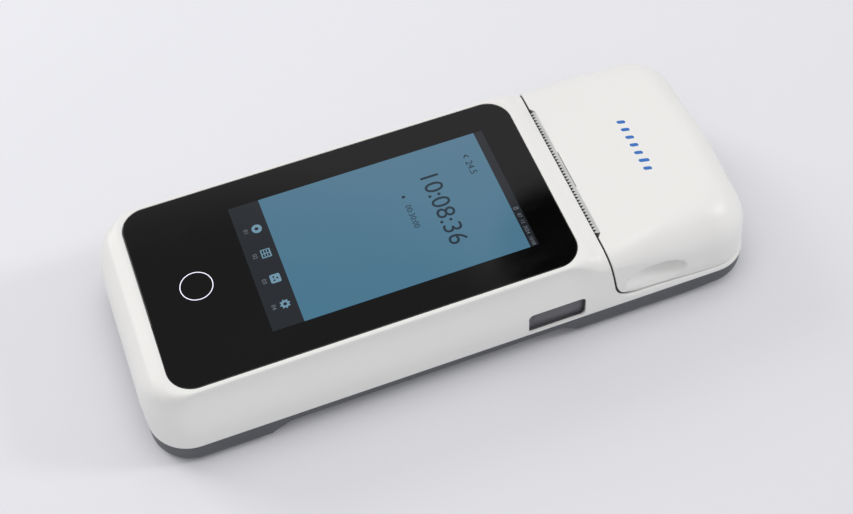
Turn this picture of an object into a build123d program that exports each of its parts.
from build123d import *
import math
import os

# Handheld test terminal with a touch glass and a built-in receipt printer, in millimetres.
# Frame: the origin is under the middle of the case, on the surface that the rubber feet stand on.
# +X is the reader's right, +Y points from the user towards the printer end, +Z is up.

# ---- case: driving dimensions ----
CASE_LENGTH = 258.0
CASE_WIDTH = 100.6
CASE_HEIGHT = 46.0
CORNER_R = 17.0
WALL = 2.2
GLASS_RIM_WALL = 3.4      # thickness of the top wall round the glass
SEAM_Z = 13.0             # where the white top shell meets the grey bottom shell
FOOT_HEIGHT = 0.8
BASE_FILLET = 5.0
HALF_L = CASE_LENGTH / 2
HALF_W = CASE_WIDTH / 2
# each level's height, how far the sides and the user's end have drawn in there, and its corner radius
BODY_LEVELS = [
    (SEAM_Z, 0.0, 0.0, CORNER_R),
    (22.0, 0.5, 0.1, 16.9),
    (33.0, 2.2, 1.2, 15.9),
    (41.0, 3.8, 4.8, 14.4),
    (CASE_HEIGHT, 4.8, 12.4, 12.0),
]
BELOW = -5.0              # a height below everything, for cutting tools
ABOVE = 60.0              # a height above everything, for cutting tools

# ---- touch glass and display ----
GLASS_WIDTH = 88.7
GLASS_LENGTH = 168.0
GLASS_R = 10.5
GLASS_T = 1.5
GLASS_Y = -31.8
GASKET_T = 0.3
LEDGE = 2.0
LCD_WIDTH = 69.0
LCD_LENGTH = 120.0
LCD_Y = -16.0
LCD_T = 3.1
TOUCH_KEY_Y = -94.5
TOUCH_KEY_R = 6.65

# ---- printer cover ----
PART_TOP_Y = 60.8         # parting line between top shell and cover, on the top
PART_LOW_Y = 65.6         # the same line at the cover's lower edge
PART_Z = 16.2             # lower edge of the cover
PART_R = 9.0
COVER_GAP = 0.35
COVER_TOP_R = 14.5
BACK_SLOPE = 0.12
HINGE_Y = 127.0
HINGE_Z = 16.2
HINGE_R = 2.0
HINGE_PIN_R = 0.8
HINGE_RELIEF_Z = HINGE_Z + 2.4
SCOOP_Y = 82.3
SCOOP_Z = 25.1
SCOOP_LENGTH_R = 15.5
SCOOP_DEPTH_R = 9.0
SCOOP_OUT = 5.2           # how far the scoop's centre stands outside the case wall
BLADE_HALF = 33.6
BLADE_T = 0.5
BLADE_Z = 45.2
TOOTH_PITCH = 1.6

# ---- printer mechanism ----
PLATEN_Y = 66.9
PLATEN_Z = 36.0
PLATEN_R = 4.0
SHAFT_R = 1.5
PAPER_HALF = 28.75
FRAME_X = 34.0            # inner face of the printer chassis side plates
PLATE_T = 1.6
GEAR_X = 37.0
GEAR_W = 3.5
GEAR_MODULE = 0.5
PLATEN_TEETH = 20
IDLER_TEETH = 28
PINION_TEETH = 12
BACKLASH = 0.12
RUNNING = 0.04            # radial clearance of every shaft that turns in a hole
ROLL_Y = 101.0
ROLL_Z = 24.0
ROLL_R = 18.0
CORE_R = 6.2
HEAD_PIVOT_Y = 60.0
HEAD_PIVOT_Z = 25.5

# ---- side slot ----
SLOT_Y = 39.4
SLOT_Z = 19.9
SLOT_LENGTH = 23.6
SLOT_HEIGHT = 10.6
SLOT_FACE_X = 49.2
FLAP_PIN_X = 46.7
FLAP_PIN_Z = 22.9
FLAP_PIN_R = 0.5

# ---- controls, boards and fasteners ----
BUTTON_Y = 20.0
BUTTON_Z = 26.0
PORT_Y = 43.1
PORT_Z = 17.8
BOARD_Z = 34.0
BOARD_T = 1.6
SCREW_XY = [(40.5, -112.0), (44.0, 58.0), (43.5, 108.0)]
FOOT_XY = [(31.0, -113.0), (31.0, 112.0)]
BATTERY_Y = (-95.0, -13.0)
BATTERY_HALF = 30.0

# The idler lies straight below the platen, along the way that the platen lifts out when the cover opens.
_lift_y = PLATEN_Z - HINGE_Z
_lift_z = HINGE_Y - PLATEN_Y
_lift = math.hypot(_lift_y, _lift_z)
LIFT = (_lift_y / _lift, _lift_z / _lift)
IDLER_DIST = GEAR_MODULE * (PLATEN_TEETH + IDLER_TEETH) / 2
IDLER_Y = PLATEN_Y - LIFT[0] * IDLER_DIST
IDLER_Z = PLATEN_Z - LIFT[1] * IDLER_DIST
PINION_ANGLE = -12.0
PINION_DIST = GEAR_MODULE * (IDLER_TEETH + PINION_TEETH) / 2
PINION_Y = IDLER_Y + PINION_DIST * math.cos(math.radians(PINION_ANGLE))
PINION_Z = IDLER_Z + PINION_DIST * math.sin(math.radians(PINION_ANGLE))


# ---- small helpers ----
def block(x0, x1, y0, y1, z0, z1):
    return Pos((x0 + x1) / 2, (y0 + y1) / 2, (z0 + z1) / 2) * Box(x1 - x0, y1 - y0, z1 - z0)


def rod_x(r, x0, x1, y, z):
    return Pos((x0 + x1) / 2, y, z) * Rot(0, 90, 0) * Cylinder(r, x1 - x0)


def rod_y(r, x, y0, y1, z):
    return Pos(x, (y0 + y1) / 2, z) * Rot(90, 0, 0) * Cylinder(r, y1 - y0)


def rod_z(r, x, y, z0, z1):
    return Pos(x, y, (z0 + z1) / 2) * Cylinder(r, z1 - z0)


def slab(width, length, r, y, z0, z1):
    return Pos(0, y, z0) * extrude(RectangleRounded(width, length, r), z1 - z0)


def outline(points, radii):
    """A closed polygon whose corners, by index, are rounded to the given radii."""
    face = make_face(Polyline(*points, close=True))
    for index, radius in radii.items():
        corner = face.vertices().sort_by_distance(Vector(*points[index]))[0]
        face = fillet(corner, radius)
    return face


def along_x(face, x0, x1):
    """A profile drawn in Y and Z, extruded from x0 to x1."""
    return extrude(Plane.YZ.offset(x0) * face, x1 - x0)


def along_y(face, y0, y1):
    """A profile drawn in X and Z, extruded from y0 to y1."""
    return extrude(Plane.XZ.offset(-y1) * face, y1 - y0)


def both_sides(solid):
    return solid + mirror(solid, about=Plane.YZ)


def plan(inset, z0, z1):
    """The case's outline seen from above."""
    shape = RectangleRounded(CASE_WIDTH - 2 * inset, CASE_LENGTH - 2 * inset, CORNER_R - inset)
    return Pos(0, 0, z0) * extrude(shape, z1 - z0)


# ---- outer forms of the case ----
def ring(z, side, user_y, printer_y, r):
    """One level of a form: a rounded rectangle with its sides drawn in by `side`."""
    shape = RectangleRounded(CASE_WIDTH - 2 * side, printer_y - user_y, r)
    return Pos(0, (user_y + printer_y) / 2, z) * shape


def body_form(inset, top_inset):
    """The glass end: walls that lean in to a narrow rim, with a sloping shoulder at the user's end."""
    rings = []
    for z, side, shoulder, r in BODY_LEVELS:
        rise = z - SEAM_Z
        level = z - top_inset * rise / (CASE_HEIGHT - SEAM_Z)
        user_y = -HALF_L + shoulder + inset
        printer_y = HALF_L - BACK_SLOPE * rise - inset
        rings.append(ring(level, side + inset, user_y, printer_y, r - inset))
    return loft(rings) + plan(inset, BELOW, SEAM_Z)


def cover_form(inset):
    """The printer end: upright sides and a leaning back wall under one large round."""
    top = CASE_HEIGHT - inset
    back = HALF_L - inset
    side = HALF_W - inset
    profile = [(20.0, SEAM_Z), (back, SEAM_Z), (back - BACK_SLOPE * (top - SEAM_Z), top), (20.0, top)]
    form = along_x(outline(profile, {}), -side, side)
    back_wall = form.faces().sort_by(Axis.Y)[-1]
    corners = back_wall.edges().filter_by(Axis.X, reverse=True)
    form = fillet(corners, CORNER_R - inset)
    rim = form.faces().sort_by(Axis.Z)[-1].edges().sort_by(Axis.Y)[1:]
    form = fillet(rim, COVER_TOP_R - inset)
    return form + (plan(inset, BELOW, SEAM_Z) & block(-60, 60, 20, 140, BELOW, SEAM_Z))


def cover_region(gap):
    """Everything behind the parting line, seen from the side."""
    points = [
        (PART_TOP_Y + gap, ABOVE),
        (PART_TOP_Y + gap, CASE_HEIGHT),
        (PART_LOW_Y + gap, PART_Z + gap),
        (HALF_L + 20, PART_Z + gap),
        (HALF_L + 20, ABOVE),
    ]
    return along_x(outline(points, {2: PART_R}), -60, 60)


def grip(out, up):
    """The hand-grip recess under one edge of the base. out and up grow it for the inside of its wall."""
    across = [
        (60, BELOW),
        (60, 9.0 + up),
        (50.4, 9.0 + up),
        (46.5 - out, 8.2 + up),
        (43.5 - out, 4.5),
        (42.0 - out, BELOW),
    ]
    lengthwise = [
        (-84.0 - out, BELOW),
        (-76.0 - out, 9.2 + up),
        (41.0 + out, 9.2 + up),
        (49.0 + out, BELOW),
    ]
    return along_y(outline(across, {3: 3.0, 4: 3.0}), -95, 60) & along_x(outline(lengthwise, {}), 30, 60)


# ---- casings ----
def hinge_knuckles(spans):
    shape = rod_x(HINGE_R, *spans[0], HINGE_Y, HINGE_Z)
    for span in spans[1:]:
        shape += rod_x(HINGE_R, *span, HINGE_Y, HINGE_Z)
    return both_sides(shape)


def top_shell():
    form = body_form(0, 0)
    shell = form - body_form(WALL, GLASS_RIM_WALL) - block(-60, 60, -140, 140, BELOW, SEAM_Z)
    shell -= cover_region(0)
    pocket_z = CASE_HEIGHT - GLASS_T - GASKET_T
    shell -= slab(GLASS_WIDTH + 0.3, GLASS_LENGTH + 0.3, GLASS_R + 0.15, GLASS_Y, pocket_z, ABOVE)
    inner = (GLASS_WIDTH - 2 * LEDGE, GLASS_LENGTH - 2 * LEDGE, GLASS_R - LEDGE)
    shell -= slab(*inner, GLASS_Y, 30, ABOVE)
    # rebate for the bottom shell's lip
    shell -= plan(1.15, SEAM_Z, SEAM_Z + 0.85) - plan(WALL + 0.5, SEAM_Z, SEAM_Z + 0.85)
    # bosses that the case screws cut into
    for (x, y), top in zip(SCREW_XY, (30.0, 15.9, 15.9)):
        boss = rod_z(3.1, x, y, SEAM_Z, top) + block(x, HALF_W, y - 1.5, y + 1.5, SEAM_Z, top)
        boss = (boss & form) - plan(0, BELOW, SEAM_Z + 0.95) + rod_z(3.1, x, y, SEAM_Z, top)
        shell += both_sides(boss)
        shell -= both_sides(rod_z(1.1, x, y, SEAM_Z - 1, 15.7))
    shell += hinge_knuckles([(20.0, 24.0), (32.0, 36.0)])
    shell -= both_sides(rod_x(HINGE_R + 0.3, 24.0, 32.0, HINGE_Y, HINGE_Z))
    shell -= both_sides(rod_x(HINGE_PIN_R, 19.0, 36.0, HINGE_Y, HINGE_Z))
    # openings for the slot bezel on the right, and the power button and charging port on the left
    slot_y = (SLOT_Y - SLOT_LENGTH / 2 - 0.05, SLOT_Y + SLOT_LENGTH / 2 + 0.05)
    shell -= block(40, 60, *slot_y, SLOT_Z - SLOT_HEIGHT / 2 - 0.05, SLOT_Z + SLOT_HEIGHT / 2 + 0.05)
    shell -= block(-60, -40, BUTTON_Y - 6.0, BUTTON_Y + 6.0, BUTTON_Z - 2.2, BUTTON_Z + 2.2)
    port = extrude(SlotOverall(9.8, 4.0, rotation=90), 8, both=True)
    return shell - Pos(-HALF_W, PORT_Y, PORT_Z) * Rot(0, -90, 0) * port


def bottom_shell():
    outer = plan(0, FOOT_HEIGHT, SEAM_Z)
    outer = fillet(outer.edges().group_by(Axis.Z)[0], BASE_FILLET)
    floor_z = FOOT_HEIGHT + WALL
    shell = outer - both_sides(grip(0, 0))
    shell -= plan(WALL, floor_z, SEAM_Z + 1) - both_sides(grip(2.4, 2.0))
    shell += plan(1.3, SEAM_Z, SEAM_Z + 0.7) - plan(WALL, SEAM_Z - 1, SEAM_Z + 1)
    for x, y in SCREW_XY:
        shell += both_sides(rod_z(3.3, x, y, floor_z - 1, SEAM_Z))
        shell -= both_sides(rod_z(2.6, x, y, BELOW, 4.0) + rod_z(1.25, x, y, BELOW, SEAM_Z + 1))
    # posts that carry the printer chassis
    for y in (60.5, 77.0):
        shell += both_sides(rod_z(3.0, 28.0, y, floor_z - 1, 12.0))
        shell -= both_sides(rod_z(1.0, 28.0, y, 6.0, 13.0))
    # battery bay: a seat for its cover, and the way in above it
    y0, y1 = BATTERY_Y
    shell -= block(-33, 33, y0 - 5.4, y1 + 5.4, BELOW, FOOT_HEIGHT + 1.6)
    shell -= block(-30.6, 30.6, y0 - 0.6, y1 + 0.6, BELOW, floor_z + 1)
    for y in (y0 - 3.2, y1 + 3.2):
        shell += rod_z(2.4, 0, y, FOOT_HEIGHT + 1.6, 8.0)
        shell -= rod_z(0.9, 0, y, BELOW, 7.0)
    for x, y in FOOT_XY:
        shell -= both_sides(rod_z(5.1, x, y, BELOW, FOOT_HEIGHT + 0.4))
    for step in range(-2, 3):
        shell -= block(-6, 6, 20 + 3 * step - 0.6, 20 + 3 * step + 0.6, BELOW, floor_z + 1)
    return shell


def scoop(grow):
    """A finger scoop on the cover's right side: an egg-shaped dent that is longest along the case."""
    ellipse = Ellipse(SCOOP_LENGTH_R + grow, SCOOP_DEPTH_R + grow)
    half = ellipse & Pos(0, 15) * Rectangle(60, 30)
    egg = revolve(half, Axis.X)
    return Pos(HALF_W + SCOOP_OUT, SCOOP_Y, SCOOP_Z) * Rot(0, 0, 90) * egg


def printer_cover():
    form = cover_form(0)
    region = cover_region(COVER_GAP)
    cover = (form - cover_form(WALL)) & region
    backing = scoop(2.0) & form & region
    cover = cover + both_sides(backing) - both_sides(scoop(0))
    # the lower edge rises at the back, to clear the hinge line as the cover swings over
    cover -= block(-60, 60, HINGE_Y - 1.2, 140, BELOW, HINGE_RELIEF_Z)
    cover += hinge_knuckles([(24.2, 31.8)])
    cover += both_sides(block(24.2, 31.8, HINGE_Y - 0.6, HINGE_Y + 1.2, HINGE_Z, HINGE_RELIEF_Z + 1))
    cover -= both_sides(rod_x(HINGE_PIN_R + RUNNING, 20, 36, HINGE_Y, HINGE_Z))
    # seat for the tear blade, and the paper's way out in front of it
    cover -= block(-BLADE_HALF - 0.3, BLADE_HALF + 0.3, 60, 64.4, BLADE_Z, ABOVE)
    cover -= block(-BLADE_HALF - 0.3, BLADE_HALF + 0.3, 60, 62.9, 40, ABOVE)
    # two arms that carry the platen roller
    arm = block(30.2, 33.0, PLATEN_Y - 4.2, PLATEN_Y + 5.0, PLATEN_Z, CASE_HEIGHT - 1.5)
    arm += rod_x(4.2, 30.2, 33.0, PLATEN_Y, PLATEN_Z)
    arm -= rod_x(3.0, 29, 34, PLATEN_Y, PLATEN_Z)
    arm -= block(29, 34, 60, 64.4, BLADE_Z, ABOVE) + block(29, 34, 60, 62.9, 40, ABOVE)
    return cover + both_sides(arm)


def battery_cover():
    y0, y1 = BATTERY_Y
    plate = block(-32.7, 32.7, y0 - 5.1, y1 + 5.1, FOOT_HEIGHT, FOOT_HEIGHT + 1.6)
    for y in (y0 - 3.2, y1 + 3.2):
        plate -= rod_z(1.05, 0, y, BELOW, 5) + rod_z(2.0, 0, y, BELOW, FOOT_HEIGHT + 0.9)
    # finger groove at the user's end
    return plate - block(-8, 8, y1 - 3, y1 - 1, BELOW, FOOT_HEIGHT + 0.6)


# ---- glass and display ----
def touch_glass():
    glass = slab(GLASS_WIDTH, GLASS_LENGTH, GLASS_R, GLASS_Y, CASE_HEIGHT - GLASS_T, CASE_HEIGHT)
    return chamfer(glass.edges().group_by(Axis.Z)[-1], 0.3)


def glass_gasket():
    z1 = CASE_HEIGHT - GLASS_T
    ring = slab(GLASS_WIDTH - 0.2, GLASS_LENGTH - 0.2, GLASS_R - 0.1, GLASS_Y, z1 - GASKET_T, z1)
    inner = (GLASS_WIDTH - 2 * LEDGE, GLASS_LENGTH - 2 * LEDGE, GLASS_R - LEDGE)
    return ring - slab(*inner, GLASS_Y, z1 - 1, z1 + 1)


def lcd_module():
    z1 = CASE_HEIGHT - GLASS_T
    return slab(LCD_WIDTH, LCD_LENGTH, 1.0, LCD_Y, z1 - LCD_T, z1)


def display_frame():
    z1 = CASE_HEIGHT - GLASS_T - LCD_T
    frame = slab(80, 148, 4.0, GLASS_Y, z1 - 1.5, z1)
    frame -= slab(52, 40, 3.0, GLASS_Y + 30, 30, z1 + 1)
    frame -= slab(52, 40, 3.0, GLASS_Y - 20, 30, z1 + 1)
    for x, y in board_corners():
        frame -= rod_z(1.1, x, y, 30, z1 + 1)
    return frame


def touch_key_light():
    z1 = CASE_HEIGHT - GLASS_T
    disc = rod_z(TOUCH_KEY_R, 0, TOUCH_KEY_Y, z1 - 1, z1)
    return disc - rod_z(TOUCH_KEY_R - 0.6, 0, TOUCH_KEY_Y, 40, 50)


def touch_key_board():
    z1 = CASE_HEIGHT - GLASS_T - 1
    return slab(20, 20, 1.5, TOUCH_KEY_Y, z1 - 1, z1)


# ---- electronics ----
def board_corners():
    return [(x, GLASS_Y + y) for x in (-34, 34) for y in (-60, 60)]


def main_board():
    board = slab(76, 128, 3.0, GLASS_Y, BOARD_Z, BOARD_Z + BOARD_T)
    for x, y in board_corners():
        board -= rod_z(1.1, x, y, 30, 40)
    return board


def shield_cans():
    z0 = BOARD_Z + BOARD_T
    cans = block(-30, -4, -60, -34, z0, z0 + 2.6) + block(4, 30, -56, -30, z0, z0 + 2.6)
    return cans + block(-22, 8, -10, 12, z0, z0 + 2.6)


def board_chips():
    chips = block(-24, -12, -70, -58, BOARD_Z - 1.4, BOARD_Z)
    chips += block(6, 20, -40, -26, BOARD_Z - 1.2, BOARD_Z)
    for step in range(5):
        chips += block(-30, -26, -44 + 8 * step, -40 + 8 * step, BOARD_Z - 1.8, BOARD_Z)
    for step in range(3):
        chips += rod_z(3.1, 28, -60 + 9 * step, BOARD_Z - 6.5, BOARD_Z)
    return chips


def board_spacers():
    z1 = CASE_HEIGHT - GLASS_T - LCD_T - 1.5
    top = BOARD_Z + BOARD_T
    posts = [rod_z(2.5, x, y, top, z1) - rod_z(1.1, x, y, 30, 45) for x, y in board_corners()]
    return Compound(children=posts)


def pan_screw(x, y, z_seat, direction, head_r, head_h, shank_r, shank_l):
    """A pan-head screw whose head sits on z_seat; its shank runs in the given direction."""
    low, high = sorted((z_seat, z_seat - direction * head_h))
    head = rod_z(head_r, x, y, low, high)
    slot = z_seat - direction * head_h
    low, high = sorted((slot - 0.5 * head_h, slot + 0.5 * head_h))
    head -= block(x - head_r, x + head_r, y - 0.25, y + 0.25, low, high)
    low, high = sorted((z_seat, z_seat + direction * shank_l))
    return head + rod_z(shank_r, x, y, low, high)


def board_screws():
    screws = [pan_screw(x, y, BOARD_Z, 1, 2.0, 1.4, 1.1, 5.0) for x, y in board_corners()]
    return Compound(children=screws)


def battery_pack():
    y0, y1 = BATTERY_Y
    pack = Pos(0, (y0 + y1) / 2, 2.6) * extrude(RectangleRounded(2 * BATTERY_HALF, y1 - y0, 3.0), 18.0)
    return fillet(pack.edges().group_by(Axis.Z)[-1], 2.0)


def battery_cover_screws():
    y0, y1 = BATTERY_Y
    seat = FOOT_HEIGHT + 0.9
    return Compound(children=[pan_screw(0, y, seat, 1, 1.9, 0.7, 0.9, 5.0) for y in (y0 - 3.2, y1 + 3.2)])


def case_screws():
    places = [(side * x, y) for x, y in SCREW_XY for side in (-1, 1)]
    return Compound(children=[pan_screw(x, y, 4.0, 1, 2.3, 1.6, 1.1, 11.5) for x, y in places])


def rubber_feet():
    places = [(side * x, y) for x, y in FOOT_XY for side in (-1, 1)]
    feet = []
    for x, y in places:
        foot = rod_z(5.0, x, y, 0, FOOT_HEIGHT + 0.4)
        feet.append(chamfer(foot.edges().group_by(Axis.Z)[0], 0.3))
    return Compound(children=feet)


def speaker():
    return rod_z(10, 0, 20, 3.2, 6.2) + rod_z(7, 0, 20, 6.2, 8.4)


def power_button():
    cap = block(-50.0, -46.0, BUTTON_Y - 5.85, BUTTON_Y + 5.85, BUTTON_Z - 2.05, BUTTON_Z + 2.05)
    cap = fillet(cap.edges().group_by(Axis.X)[0], 0.6)
    return cap + block(-46.0, -45.0, BUTTON_Y - 7, BUTTON_Y + 7, BUTTON_Z - 2.9, BUTTON_Z + 2.9)


def button_switch():
    body = block(-44.0, -42.2, BUTTON_Y - 3, BUTTON_Y + 3, BUTTON_Z - 2, BUTTON_Z + 2)
    return body + rod_x(1.0, -44.4, -44.0, BUTTON_Y, BUTTON_Z)


def button_board():
    return block(-42.2, -41.0, BUTTON_Y - 9, BUTTON_Y + 9, BUTTON_Z - 6, BUTTON_Z + 5)


def io_board():
    return block(-46.5, -28.0, PORT_Y - 11, PORT_Y + 9, PORT_Z - 3.0, PORT_Z - 1.6)


def charging_port():
    shape = SlotOverall(9.0, 3.2, rotation=90)
    hollow = SlotOverall(8.4, 2.6, rotation=90)
    at = Pos(-48.6, PORT_Y, PORT_Z) * Rot(0, 90, 0)
    tongue = block(-47.8, -41.6, PORT_Y - 3.3, PORT_Y + 3.3, PORT_Z - 0.35, PORT_Z + 0.35)
    return at * extrude(shape, 7.6) - at * extrude(hollow, 6.6) + tongue


# ---- side slot ----
def slot_bezel():
    y0, y1 = SLOT_Y - SLOT_LENGTH / 2, SLOT_Y + SLOT_LENGTH / 2
    z0, z1 = SLOT_Z - SLOT_HEIGHT / 2, SLOT_Z + SLOT_HEIGHT / 2
    ring = block(45.4, SLOT_FACE_X, y0, y1, z0, z1)
    ring -= block(45, 50, y0 + 1, y1 - 1, z0 + 1, z1 - 1)
    return ring - rod_y(FLAP_PIN_R, FLAP_PIN_X, y0 + 0.3, y1 - 0.3, FLAP_PIN_Z)


def slot_flap():
    y0, y1 = SLOT_Y - SLOT_LENGTH / 2 + 1.3, SLOT_Y + SLOT_LENGTH / 2 - 1.3
    z0 = SLOT_Z - SLOT_HEIGHT / 2 + 1.25
    flap = block(FLAP_PIN_X + 0.5, FLAP_PIN_X + 1.3, y0, y1, z0, FLAP_PIN_Z + 1.1)
    # the hinge barrel stops short of one end, to leave room for the return spring
    flap += rod_y(1.1, FLAP_PIN_X, y0, y1 - 4, FLAP_PIN_Z)
    flap -= rod_y(1.2, FLAP_PIN_X, y1 - 4, y1 + 1, FLAP_PIN_Z)
    return flap - rod_y(FLAP_PIN_R + RUNNING, FLAP_PIN_X, y0 - 1, y1 + 1, FLAP_PIN_Z)


def flap_pin():
    reach = SLOT_LENGTH / 2 - 0.3
    return rod_y(FLAP_PIN_R, FLAP_PIN_X, SLOT_Y - reach, SLOT_Y + reach, FLAP_PIN_Z)


def flap_spring():
    y1 = SLOT_Y + SLOT_LENGTH / 2 - 1.3
    coil = rod_y(1.1, FLAP_PIN_X, y1 - 3.6, y1 - 0.3, FLAP_PIN_Z)
    return coil - rod_y(0.7, FLAP_PIN_X, y1 - 5, y1 + 1, FLAP_PIN_Z)


def card_sleeve():
    half = SLOT_LENGTH / 2
    tube = block(24, 45.3, SLOT_Y - half - 0.4, SLOT_Y + half + 0.4, SLOT_Z - 6.1, SLOT_Z + 5.7)
    return tube - block(20, 50, SLOT_Y - half + 0.6, SLOT_Y + half - 0.6, SLOT_Z - 5.1, SLOT_Z + 4.7)


def reader_module():
    body = block(8, 23.9, SLOT_Y - 12, SLOT_Y + 12, 14.2, 27.0)
    return fillet(body.edges().filter_by(Axis.Z), 1.5)


def reader_contacts():
    places = [SLOT_Y + 2.5 * n for n in range(-3, 4)]
    pins = [block(23.9, 26.0, y - 0.5, y + 0.5, 15.2, 16.0) for y in places]
    return Compound(children=pins)


# ---- printer ----
def involute_face(teeth, phase, bore):
    """A spur gear's face in Y and Z, with a tooth centred at phase degrees from +Y."""
    pitch_r = GEAR_MODULE * teeth / 2
    base_r = pitch_r * math.cos(math.radians(20))
    tip_r = pitch_r + 0.95 * GEAR_MODULE
    root_r = pitch_r - 1.25 * GEAR_MODULE
    flank_r = max(base_r, root_r)

    def roll(r):
        angle = math.acos(min(1.0, base_r / r))
        return math.tan(angle) - angle

    half_at_pitch = math.pi / (2 * teeth) - BACKLASH / (2 * pitch_r)
    radii = [flank_r + (tip_r - flank_r) * k / 4 for k in range(5)]
    halves = [half_at_pitch + roll(pitch_r) - roll(r) for r in radii]
    points = []
    for n in range(teeth):
        mid = math.radians(phase) + 2 * math.pi * n / teeth
        side = [(root_r, -halves[0])] if root_r < flank_r else []
        side += [(r, -h) for r, h in zip(radii, halves)]
        side += [(r, -a) for r, a in reversed(side)]
        points += [(r * math.cos(mid + a), r * math.sin(mid + a)) for r, a in side]
    return make_face(Polyline(*points, close=True)) - Circle(bore)


def phases():
    """Where each gear's teeth stand, so that the train is in mesh."""
    down = math.degrees(math.atan2(-LIFT[1], -LIFT[0]))
    idler = down + 180 + 180 / IDLER_TEETH
    pitch = 360 / IDLER_TEETH
    share = ((PINION_ANGLE - idler) % pitch) / pitch
    pinion = PINION_ANGLE + 180 + share * 360 / PINION_TEETH + 180 / PINION_TEETH
    return down, idler, pinion


def gear(teeth, phase, bore, y, z):
    solid = along_x(Pos(y, z) * involute_face(teeth, phase, bore), GEAR_X, GEAR_X + GEAR_W)
    if teeth == PINION_TEETH:
        return solid
    # a shallow dish between the rim and the hub
    dish = Pos(y, z) * (Circle(GEAR_MODULE * teeth / 2 - 1.4) - Circle(bore + 1.2))
    return solid - along_x(dish, GEAR_X + GEAR_W - 0.8, GEAR_X + GEAR_W + 1)


def platen_gear():
    return gear(PLATEN_TEETH, phases()[0], SHAFT_R, PLATEN_Y, PLATEN_Z)


def idler_gear():
    return gear(IDLER_TEETH, phases()[1], 1.0 + RUNNING, IDLER_Y, IDLER_Z)


def motor_pinion():
    return gear(PINION_TEETH, phases()[2], 1.0, PINION_Y, PINION_Z)


def idler_pin():
    pin = rod_x(1.0, FRAME_X, GEAR_X + GEAR_W + 0.9, IDLER_Y, IDLER_Z)
    return pin + rod_x(1.9, GEAR_X + GEAR_W + 0.3, GEAR_X + GEAR_W + 0.9, IDLER_Y, IDLER_Z)


def platen_shaft():
    return rod_x(SHAFT_R, -FRAME_X - 3.4, GEAR_X + GEAR_W + 0.4, PLATEN_Y, PLATEN_Z)


def platen_rubber():
    roller = rod_x(PLATEN_R, -PAPER_HALF, PAPER_HALF, PLATEN_Y, PLATEN_Z)
    return roller - rod_x(SHAFT_R, -40, 40, PLATEN_Y, PLATEN_Z)


def platen_bushings():
    bush = rod_x(3.0, 30.0, 33.2, PLATEN_Y, PLATEN_Z)
    bush -= rod_x(SHAFT_R + RUNNING, 29, 35, PLATEN_Y, PLATEN_Z)
    return Compound(children=[bush, mirror(bush, about=Plane.YZ)])


def motor_ears():
    return [(PINION_Y - 6.4, PINION_Z + 6.4), (PINION_Y + 6.4, PINION_Z - 6.4)]


def printer_frame():
    """A folded chassis: two side plates with an open notch for the platen shaft, a floor and a back."""
    plate = outline(
        [(54.6, 12.0), (54.6, 38.0), (58.0, 41.0), (70.0, 41.0), (83.0, 30.0), (83.0, 12.0)],
        {1: 2.0, 2: 2.0, 3: 4.0, 4: 4.0},
    )
    width = 2 * SHAFT_R + 0.6
    notch = Pos(PLATEN_Y, PLATEN_Z) * Circle(width / 2)
    angle = math.degrees(math.atan2(LIFT[1], LIFT[0]))
    notch += Pos(PLATEN_Y, PLATEN_Z) * Rot(0, 0, angle) * Pos(8, 0) * Rectangle(16, width)
    plate -= notch
    plate -= Pos(HEAD_PIVOT_Y, HEAD_PIVOT_Z) * Circle(1.0)
    right = plate - Pos(IDLER_Y, IDLER_Z) * Circle(1.0) - Pos(PINION_Y, PINION_Z) * Circle(2.4)
    for y, z in motor_ears():
        right -= Pos(y, z) * Circle(0.8)
    frame = along_x(right, FRAME_X, FRAME_X + PLATE_T) + along_x(plate, -FRAME_X - PLATE_T, -FRAME_X)
    frame += block(-FRAME_X, FRAME_X, 54.6, 83.0, 12.0, 12.0 + PLATE_T)
    frame += block(-FRAME_X, FRAME_X, 54.6, 54.6 + 1.2, 12.0, 39.0)
    for y in (60.5, 77.0):
        frame -= both_sides(rod_z(1.0, 28.0, y, 5, 20))
    return frame


def printer_screws():
    seat = 12.0 + PLATE_T
    places = [(x, y) for x in (-28.0, 28.0) for y in (60.5, 77.0)]
    return Compound(children=[pan_screw(x, y, seat, -1, 2.0, 1.0, 1.0, 7.0) for x, y in places])


def stepper_motor():
    motor = rod_x(7.5, 18.0, 33.0, PINION_Y, PINION_Z)
    motor = fillet(motor.edges().group_by(Axis.X)[0], 0.8)
    (y0, z0), (y1, z1) = motor_ears()
    discs = Pos(y0, z0) * Circle(2.1) + Pos(y1, z1) * Circle(2.1) + Pos(PINION_Y, PINION_Z) * Circle(7.5)
    flange = make_hull(discs.edges())
    for y, z in motor_ears():
        flange -= Pos(y, z) * Circle(0.8)
    motor += along_x(flange, 33.0, FRAME_X)
    return motor - rod_x(1.0 + RUNNING, 28.0, 35.0, PINION_Y, PINION_Z)


def motor_shaft():
    return rod_x(1.0, 28.2, GEAR_X + GEAR_W + 0.3, PINION_Y, PINION_Z)


def motor_screws():
    screws = []
    for y, z in motor_ears():
        head = rod_x(1.5, FRAME_X + PLATE_T, FRAME_X + PLATE_T + 0.9, y, z)
        head -= block(FRAME_X + PLATE_T + 0.5, 40, y - 2, y + 2, z - 0.2, z + 0.2)
        screws.append(head + rod_x(0.8, 32.2, FRAME_X + PLATE_T, y, z))
    return Compound(children=screws)


def print_head():
    """The ceramic strip with the heating line, on the platen's side of the heat sink."""
    strip = block(-30, 30, 61.2, 62.3, 29.0, 41.0)
    return strip + along_x(Pos(62.3, PLATEN_Z) * Circle(0.25), -28, 28)


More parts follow.
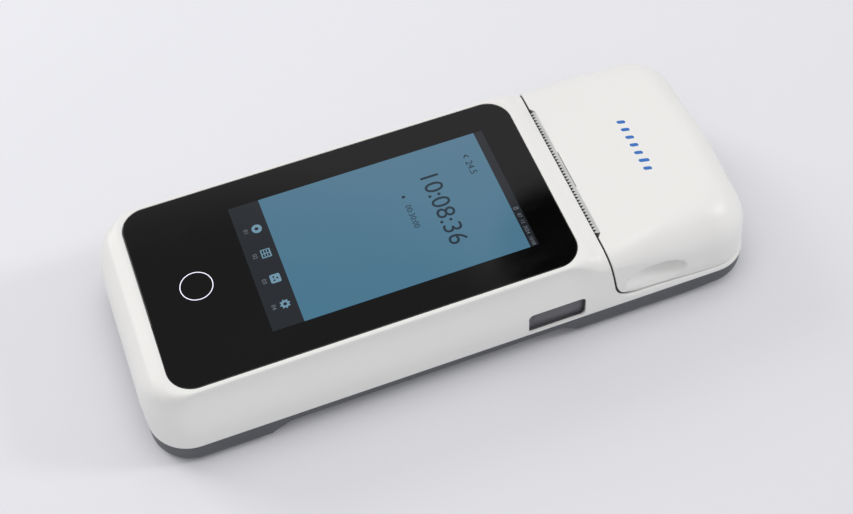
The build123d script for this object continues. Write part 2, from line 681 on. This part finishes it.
def head_heatsink():
    sink = block(-30, 30, 58.6, 61.2, 27.2, 41.2)
    for x in (-28.0, 28.0):
        sink += block(x - 2, x + 2, HEAD_PIVOT_Y - 1.4, HEAD_PIVOT_Y + 1.2, HEAD_PIVOT_Z, 28.0)
        sink += rod_x(1.9, x - 2, x + 2, HEAD_PIVOT_Y, HEAD_PIVOT_Z)
    for step in range(3):
        groove_z = 28.6 + 2.1 * step
        sink -= block(-25, 25, 58.0, 59.2, groove_z, min(groove_z + 1.0, 33.0))
    return sink - rod_x(1.0 + RUNNING, -31, 31, HEAD_PIVOT_Y, HEAD_PIVOT_Z)


def head_pivot_pin():
    return rod_x(1.0, -FRAME_X - PLATE_T - 0.6, FRAME_X + PLATE_T + 0.6, HEAD_PIVOT_Y, HEAD_PIVOT_Z)


def head_springs():
    spring = rod_y(2.0, 15, 55.9, 58.5, 37.0) - rod_y(1.4, 15, 50, 60, 37.0)
    return Compound(children=[spring, mirror(spring, about=Plane.YZ)])


def paper_roll():
    return rod_x(ROLL_R, -PAPER_HALF, PAPER_HALF, ROLL_Y, ROLL_Z) - rod_x(CORE_R, -40, 40, ROLL_Y, ROLL_Z)


def paper_core():
    core = rod_x(CORE_R, -PAPER_HALF, PAPER_HALF, ROLL_Y, ROLL_Z)
    return core - rod_x(CORE_R - 1.4, -40, 40, ROLL_Y, ROLL_Z)


def paper_tray():
    """A cradle under the paper roll, with a cheek at each end, in a deck across the case."""
    inside = rod_x(ROLL_R + 1.0, -30.0, 30.0, ROLL_Y, ROLL_Z)
    cradle = rod_x(ROLL_R + 2.2, -31.6, 31.6, ROLL_Y, ROLL_Z) - block(-60, 60, 60, 140, 27.0, ABOVE)
    cradle -= block(-30, 30, 60, 140, 15.2, ABOVE)
    deck = slab(93.2, 40.0, 10.0, 104.5, 13.9, 15.2)
    for x, y in SCREW_XY:
        deck -= both_sides(rod_z(3.5, x, y, 10, 20) + block(x, 60, y - 2, y + 2, 10, 20))
    return cradle + deck - inside


def paper_sensor():
    return block(-3, 3, 80.2, 82.3, 14.2, 18.5) + block(-5, 5, 79.2, 82.3, 13.9, 15.0)


def tear_blade():
    """A steel strip on the cover's front edge; its teeth point at the user."""
    count = round(2 * BLADE_HALF / TOOTH_PITCH)
    points = [(BLADE_HALF, 64.3), (-BLADE_HALF, 64.3)]
    for n in range(count):
        left = -BLADE_HALF + n * TOOTH_PITCH
        points += [(left, 62.3), (left + TOOTH_PITCH / 2, 61.2)]
    points.append((BLADE_HALF, 62.3))
    face = make_face(Polyline(*points, close=True))
    return Pos(0, 0, BLADE_Z) * extrude(face, BLADE_T)


def hinge_pins():
    pin = rod_x(HINGE_PIN_R, 20.5, 35.8, HINGE_Y, HINGE_Z)
    return Compound(children=[pin, mirror(pin, about=Plane.YZ)])


PIECES = [
    top_shell,
    bottom_shell,
    printer_cover,
    battery_cover,
    touch_glass,
    glass_gasket,
    lcd_module,
    display_frame,
    touch_key_light,
    touch_key_board,
    main_board,
    shield_cans,
    board_chips,
    board_spacers,
    board_screws,
    battery_pack,
    battery_cover_screws,
    case_screws,
    rubber_feet,
    speaker,
    power_button,
    button_switch,
    button_board,
    io_board,
    charging_port,
    slot_bezel,
    slot_flap,
    flap_pin,
    flap_spring,
    card_sleeve,
    reader_module,
    reader_contacts,
    printer_frame,
    printer_screws,
    stepper_motor,
    motor_shaft,
    motor_screws,
    motor_pinion,
    idler_gear,
    idler_pin,
    platen_shaft,
    platen_rubber,
    platen_gear,
    platen_bushings,
    print_head,
    head_heatsink,
    head_pivot_pin,
    head_springs,
    paper_roll,
    paper_core,
    paper_tray,
    paper_sensor,
    tear_blade,
    hinge_pins,
]

os.makedirs("parts", exist_ok=True)
for piece in PIECES:
    export_step(piece(), f"parts/{piece.__name__}.step")
